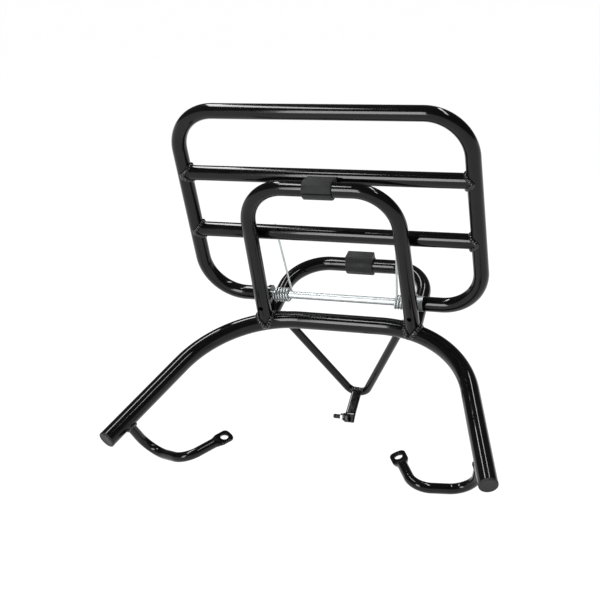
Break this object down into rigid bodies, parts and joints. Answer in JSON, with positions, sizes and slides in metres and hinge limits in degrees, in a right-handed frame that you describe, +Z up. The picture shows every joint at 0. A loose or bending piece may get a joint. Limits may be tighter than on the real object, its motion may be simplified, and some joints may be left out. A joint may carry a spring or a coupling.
{
  "type": "folding rear carrier",
  "caption": "Fold-down rear carrier for a scooter: a bent steel tube base with two hoops, a V-shaped stay and hooked mounting arms, and a sprung tube platform on a hinge rod.",
  "frame": {"origin": "middle of the overall box, on the surface that the two mounting arms and the stay's foot stand on", "axes": "+Z up, +X to the right when seen from the open ends of the base tube, +Y to the rear, where the platform folds down"},
  "size_m": [0.415, 0.2693, 0.3661],
  "materials": {
    "powder_coat": "gloss black powder coat",
    "zinc": "bright zinc plate",
    "rubber": "matt black rubber",
    "cap_plastic": "fine-grained black plastic",
    "dark_steel": "blackened steel"
  },
  "bodies": {
    "base": {"base_tube": "powder_coat", "end_cap_left": "cap_plastic", "end_cap_right": "cap_plastic", "mount_arm_left": "powder_coat", "mount_arm_right": "powder_coat", "front_hoop": "powder_coat", "rear_hoop": "powder_coat", "front_buffer": "rubber", "rear_buffer": "rubber", "hinge_ear_left": "powder_coat", "hinge_ear_right": "powder_coat", "stay": "powder_coat", "stay_bracket": "powder_coat", "bracket_bolt": "dark_steel", "bracket_nut": "zinc", "hinge_rod": "zinc", "hinge_spacer_left": "zinc", "hinge_spacer_right": "zinc", "spring_coil_left": "zinc", "spring_coil_right": "zinc"},
    "platform": {"platform_frame": "powder_coat", "upper_crossbar": "powder_coat", "lower_crossbar": "powder_coat", "hinge_bush_left": "zinc", "hinge_bush_right": "zinc", "spring_leg_left": "zinc", "spring_leg_right": "zinc"}
  },
  "joints": [
    {"name": "platform_fold", "type": "hinge", "parent": "base", "child": "platform", "pos_m": [0, 0.0485, 0.1498], "axis": [-1, 0, 0], "range_deg": [0, 79], "stiffness_Nm_per_rad": 0.8, "springref_deg": -28.65, "deforming": ["spring_coil_left", "spring_coil_right", "spring_leg_left", "spring_leg_right"]}
  ]
}
